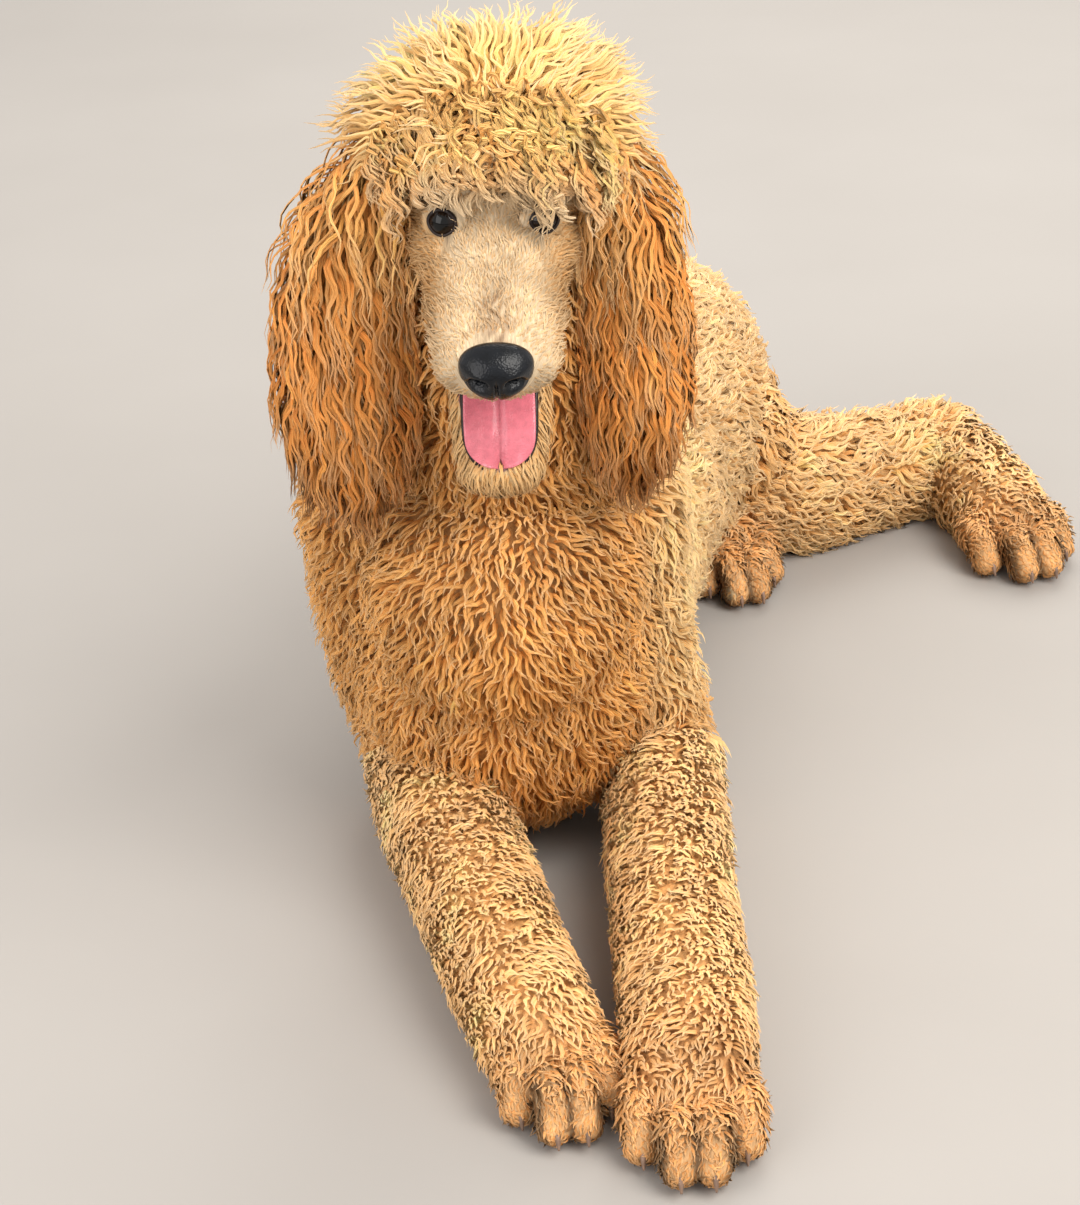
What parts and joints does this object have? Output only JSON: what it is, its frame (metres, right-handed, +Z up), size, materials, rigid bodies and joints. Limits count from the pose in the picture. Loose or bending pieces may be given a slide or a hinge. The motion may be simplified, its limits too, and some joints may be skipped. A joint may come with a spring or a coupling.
{
  "type": "standard poodle, lying, still life-size model",
  "caption": "Young apricot standard poodle lying with its head up, forelegs stretched ahead and both hind legs out to its left; curly coat, full topknot and long ears.",
  "frame": {"origin": "on the floor under the breastbone, in the flat on which the chest rests", "axes": "+Z up, the dog faces -Y, its own left side is towards +X; the body is longest along Y"},
  "size_m": [0.5243, 0.9291, 0.553],
  "materials": {
    "body_coat": "soft curly apricot hair, darker between the curls",
    "ear_coat": "long wavy rust-apricot hair",
    "face_coat": "short cream hair on the face, long pale hair in the topknot",
    "foot_coat": "closely clipped hair over the toes",
    "nose_leather": "moist black nose leather, finely pebbled",
    "tongue": "moist pink flesh with a middle groove",
    "eye": "wet dark brown eye",
    "claw": "dull horn"
  },
  "bodies": {
    "root": {"head": "face_coat", "lower_jaw": "face_coat", "nose": "nose_leather", "tongue": "tongue", "eye_left": "eye", "eye_right": "eye", "ear_left": "ear_coat", "ear_right": "ear_coat", "neck": "body_coat", "chest": "body_coat", "rump": "body_coat", "tail": "body_coat", "foreleg_left": "body_coat", "foreleg_right": "body_coat", "forepaw_left": "foot_coat", "forepaw_right": "foot_coat", "hind_leg_left": "body_coat", "hind_leg_right": "body_coat", "hind_paw_left": "foot_coat", "hind_paw_right": "foot_coat", "forepaw_left_claw_1": "claw", "forepaw_left_claw_2": "claw", "forepaw_left_claw_3": "claw", "forepaw_left_claw_4": "claw", "forepaw_right_claw_1": "claw", "forepaw_right_claw_2": "claw", "forepaw_right_claw_3": "claw", "forepaw_right_claw_4": "claw", "hind_paw_left_claw_1": "claw", "hind_paw_left_claw_2": "claw", "hind_paw_left_claw_3": "claw", "hind_paw_left_claw_4": "claw", "hind_paw_right_claw_1": "claw", "hind_paw_right_claw_2": "claw", "hind_paw_right_claw_3": "claw", "hind_paw_right_claw_4": "claw"}
  },
  "joints": []
}
